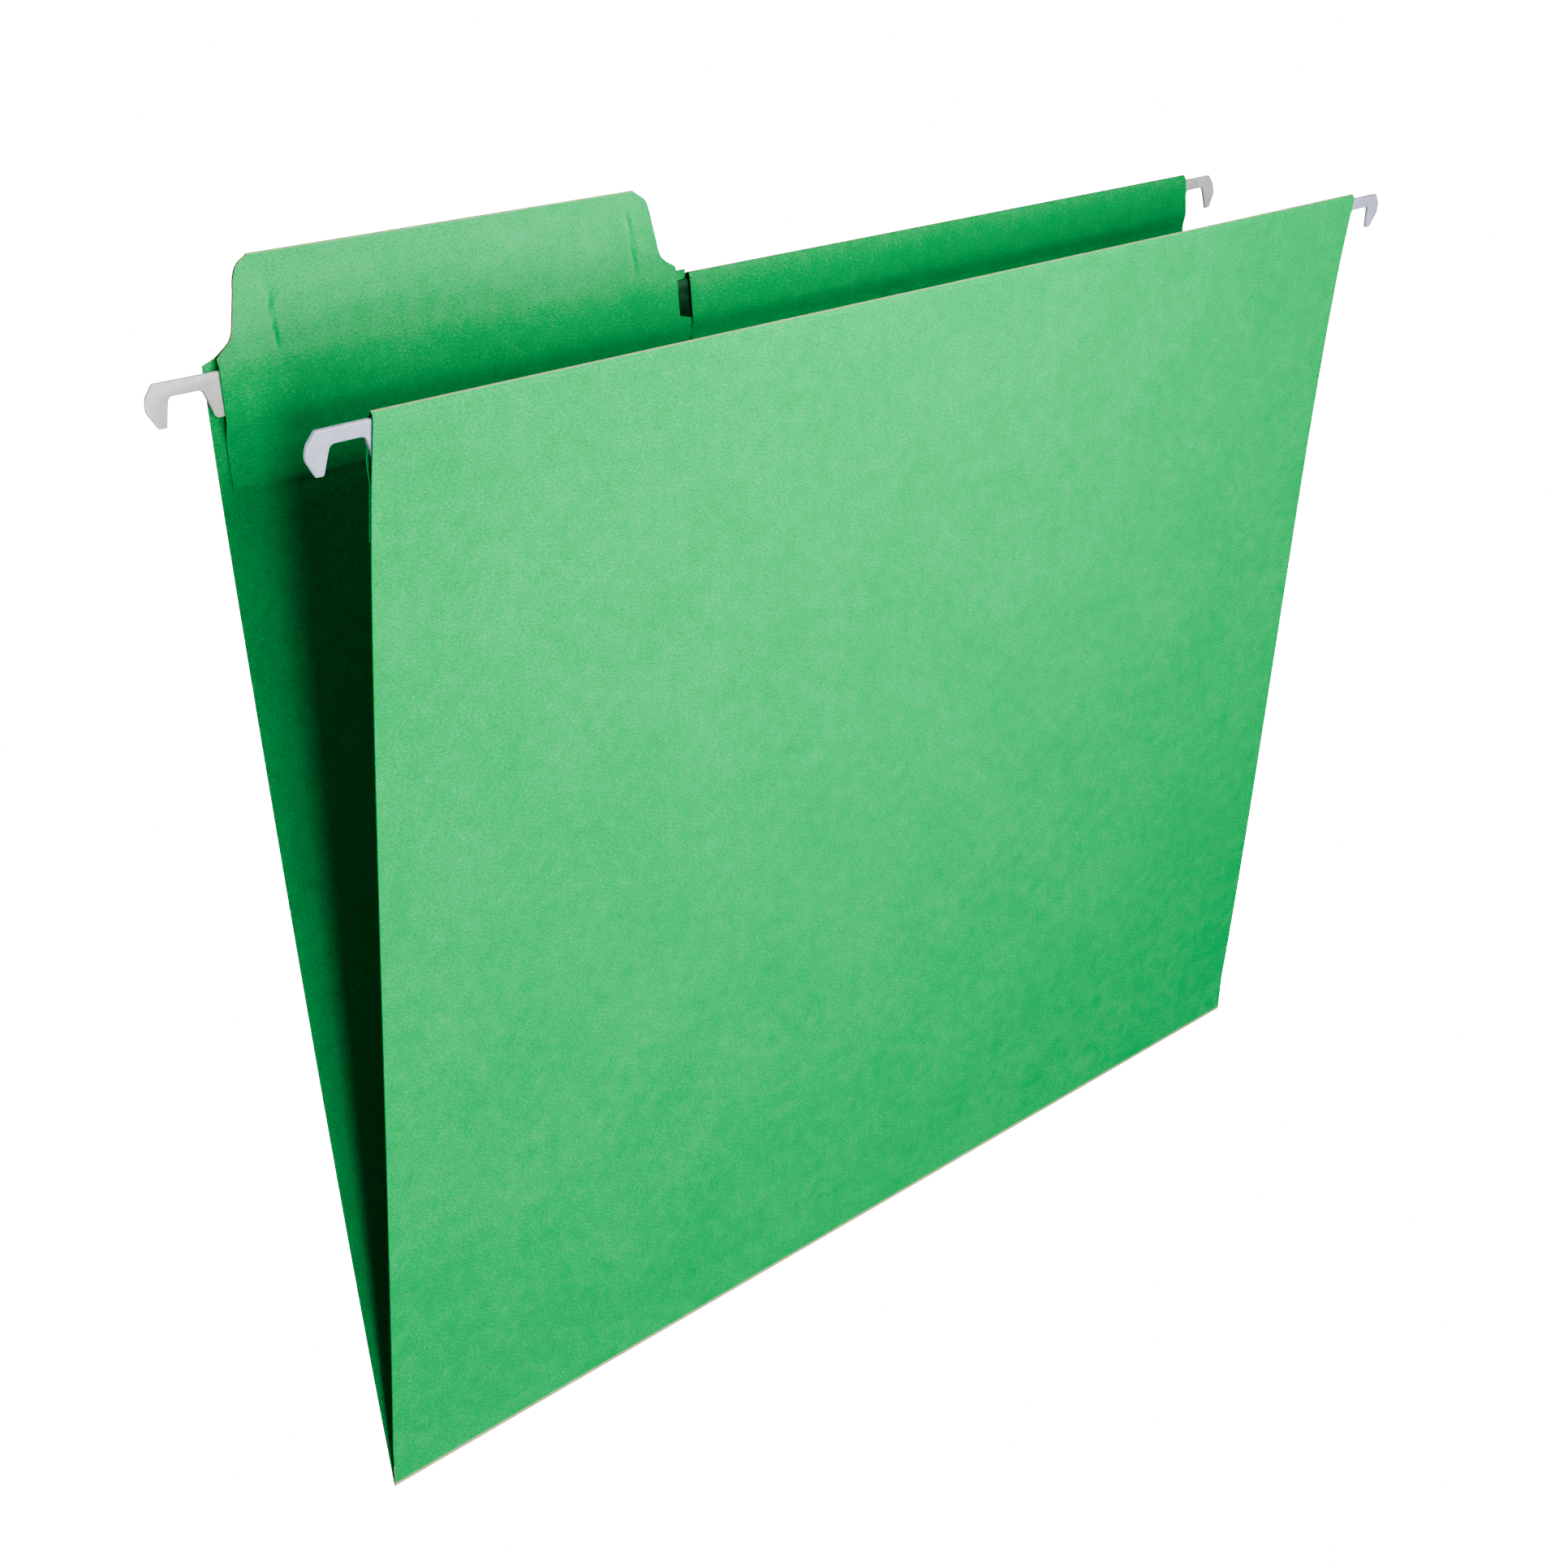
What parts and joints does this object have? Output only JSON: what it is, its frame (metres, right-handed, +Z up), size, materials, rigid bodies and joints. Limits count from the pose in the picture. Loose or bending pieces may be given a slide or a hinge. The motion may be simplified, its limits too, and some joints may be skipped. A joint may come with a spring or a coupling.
{
  "type": "hanging file folder",
  "caption": "Letter-size hanging file folder of green card with a built-in tab, two steel hanging rods in rolled sleeves and coated rail hooks.",
  "frame": {"origin": "midway between the four hook seats, level with the tops of the drawer rails that carry the folder", "axes": "+X along the hanging rods, -Y towards the front panel, +Z up, with the tab on the -X side of the back panel"},
  "size_m": [0.3248, 0.0542, 0.2581],
  "materials": {
    "card": "matt, mottled green 11 point card stock",
    "adhesive": "dried glue film",
    "rod_steel": "cold-rolled strip",
    "tip_coating": "satin, smooth light grey dipped coating"
  },
  "bodies": {
    "hung_rod": {"back_rod": "rod_steel", "back_rod_left_tip": "tip_coating", "back_rod_right_tip": "tip_coating"},
    "back_card": {"back_panel": "card", "tab_front_ply": "card", "back_flap_adhesive": "adhesive", "tab_flap_adhesive": "adhesive", "tab_adhesive": "adhesive"},
    "back_strip": {"back_bottom_strip": "card"},
    "front_strip": {"front_bottom_strip": "card"},
    "front_card": {"front_panel": "card", "front_flap_adhesive": "adhesive"},
    "moving_rod": {"front_rod": "rod_steel", "front_rod_left_tip": "tip_coating", "front_rod_right_tip": "tip_coating"}
  },
  "joints": [
    {"name": "back_rod_slide", "type": "slide", "parent": "hung_rod", "child": "back_card", "axis": [1, 0, 0], "range_m": [-0.003, 0.003]},
    {"name": "back_score", "type": "hinge", "parent": "back_card", "child": "back_strip", "pos_m": [0, 0.00115, -0.2281], "axis": [1, 0, 0], "range_deg": [-0.8, 20]},
    {"name": "bottom_fold", "type": "hinge", "parent": "back_strip", "child": "front_strip", "pos_m": [0, 0, -0.23515], "axis": [1, 0, 0], "range_deg": [-8, 168]},
    {"name": "front_score", "type": "hinge", "parent": "front_strip", "child": "front_card", "pos_m": [0, -0.00085, -0.2247], "axis": [1, 0, 0], "range_deg": [-2.6, 20]},
    {"name": "front_rod_slide", "type": "slide", "parent": "front_card", "child": "moving_rod", "axis": [1, 0, 0], "range_m": [-0.003, 0.003]}
  ]
}
